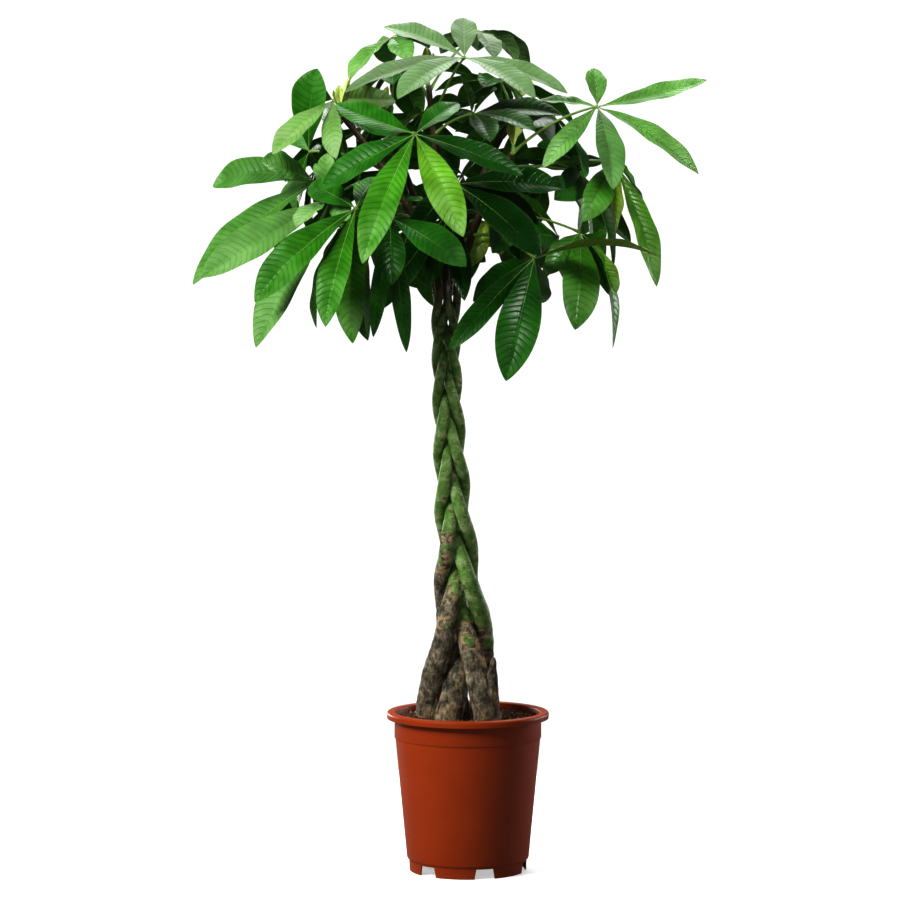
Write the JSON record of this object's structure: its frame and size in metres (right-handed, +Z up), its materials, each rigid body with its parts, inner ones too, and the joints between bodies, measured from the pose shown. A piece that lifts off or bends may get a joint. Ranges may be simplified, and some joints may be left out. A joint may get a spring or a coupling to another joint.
{
  "type": "potted money tree",
  "caption": "Money tree house plant: tall plaited stems in a tapered plastic nursery pot, with a broad crown of glossy palmate leaves on long stalks.",
  "frame": {"origin": "middle of the pot's foot, on the surface that the pot stands on", "axes": "+Z up; -Y is the side that the picture shows, with +X to its right"},
  "size_m": [0.663, 0.4907, 1.111],
  "materials": {
    "pot_plastic": "satin moulded plastic, terracotta colour",
    "potting_soil": "loose crumbly peat compost, matt",
    "stem_bark": "living bark, grey-brown at the foot and green above",
    "new_leaf": "soft folded new leaf, yellow-green",
    "leaf": "glossy living leaf, green with paler veins"
  },
  "bodies": {
    "root": {"bud_1": "new_leaf", "bud_2": "new_leaf", "bud_3": "new_leaf", "bud_4": "new_leaf", "bud_5": "new_leaf", "leaf_01": "leaf", "leaf_02": "leaf", "leaf_03": "leaf", "leaf_04": "leaf", "leaf_05": "leaf", "leaf_06": "leaf", "leaf_07": "leaf", "leaf_08": "leaf", "leaf_09": "leaf", "leaf_10": "leaf", "leaf_11": "leaf", "leaf_12": "leaf", "leaf_13": "leaf", "leaf_14": "leaf", "leaf_15": "leaf", "leaf_16": "leaf", "leaf_17": "leaf", "leaf_18": "leaf", "leaf_19": "leaf", "leaf_20": "leaf", "leaf_21": "leaf", "leaf_22": "leaf", "leaf_23": "leaf", "leaf_24": "leaf", "leaf_25": "leaf", "leaf_26": "leaf", "leaf_27": "leaf", "leaf_28": "leaf", "leaf_29": "leaf", "leaf_30": "leaf", "leaf_31": "leaf", "leaf_32": "leaf", "leaf_33": "leaf", "leaf_34": "leaf", "leaf_35": "leaf", "leaf_36": "leaf", "leaf_37": "leaf", "leaf_38": "leaf", "pot": "pot_plastic", "soil": "potting_soil", "stem_1": "stem_bark", "stem_2": "stem_bark", "stem_3": "stem_bark", "stem_4": "stem_bark", "stem_5": "stem_bark"}
  },
  "joints": []
}
